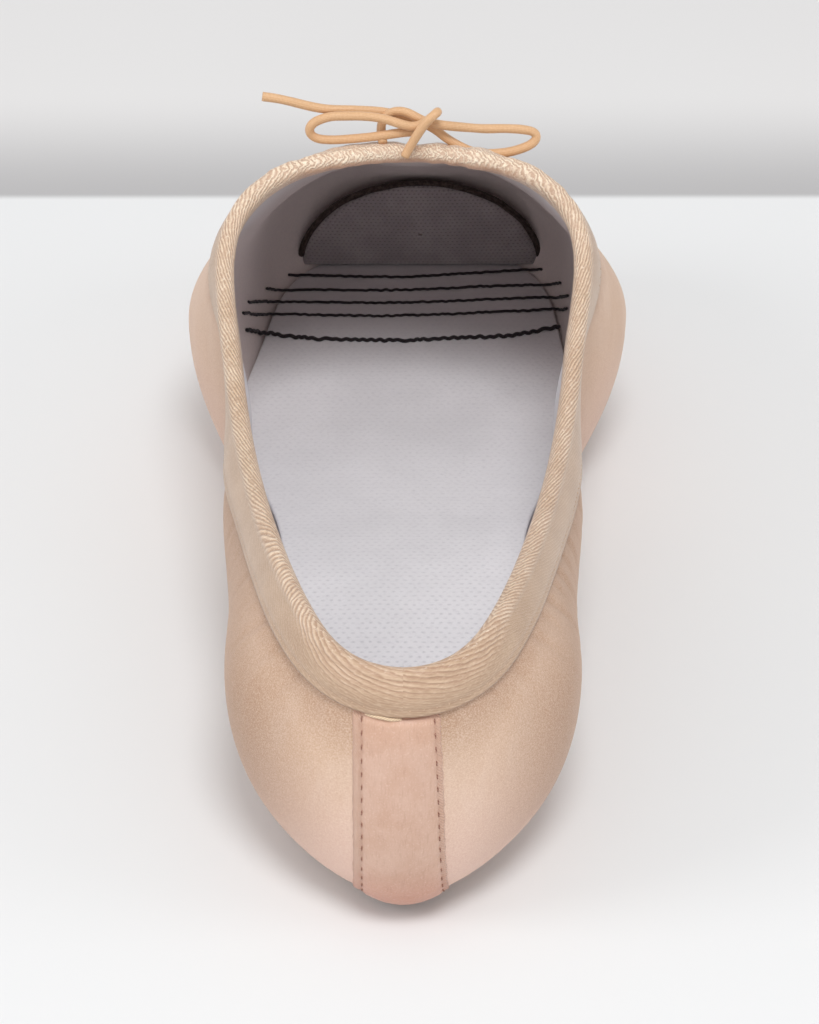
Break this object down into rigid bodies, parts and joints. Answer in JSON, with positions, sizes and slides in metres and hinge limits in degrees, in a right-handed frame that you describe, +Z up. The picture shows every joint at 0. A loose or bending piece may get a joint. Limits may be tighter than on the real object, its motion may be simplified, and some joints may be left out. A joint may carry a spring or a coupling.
{
  "type": "pointe shoe",
  "caption": "Satin pointe shoe with a stiff square toe box, thin leather sole, herringbone binding and a tied drawstring.",
  "frame": {"origin": "middle of the shoe's box, without the drawstring, on the floor under the sole", "axes": "+Y from heel to toe, +X to the shoe's right seen from behind, +Z up"},
  "size_m": [0.0872, 0.241, 0.0792],
  "materials": {
    "leather": "suede split leather, matte",
    "satin": "peach-pink satin with a soft sheen",
    "insole_cloth": "off-white knitted cloth, matte",
    "knit": "dark grey knit, matte",
    "tape": "peach herringbone twill tape, soft sheen",
    "cord": "tan elastic cord"
  },
  "bodies": {
    "root": {"outsole": "leather", "upper": "satin", "insole": "insole_cloth", "toe_cushion": "knit", "topline_binding": "tape", "heel_strip": "tape", "drawstring_knot": "cord", "drawstring_left_loop": "cord", "drawstring_right_loop": "cord", "drawstring_left_end": "cord", "drawstring_right_end": "cord", "drawstring_riser": "cord"}
  },
  "joints": []
}
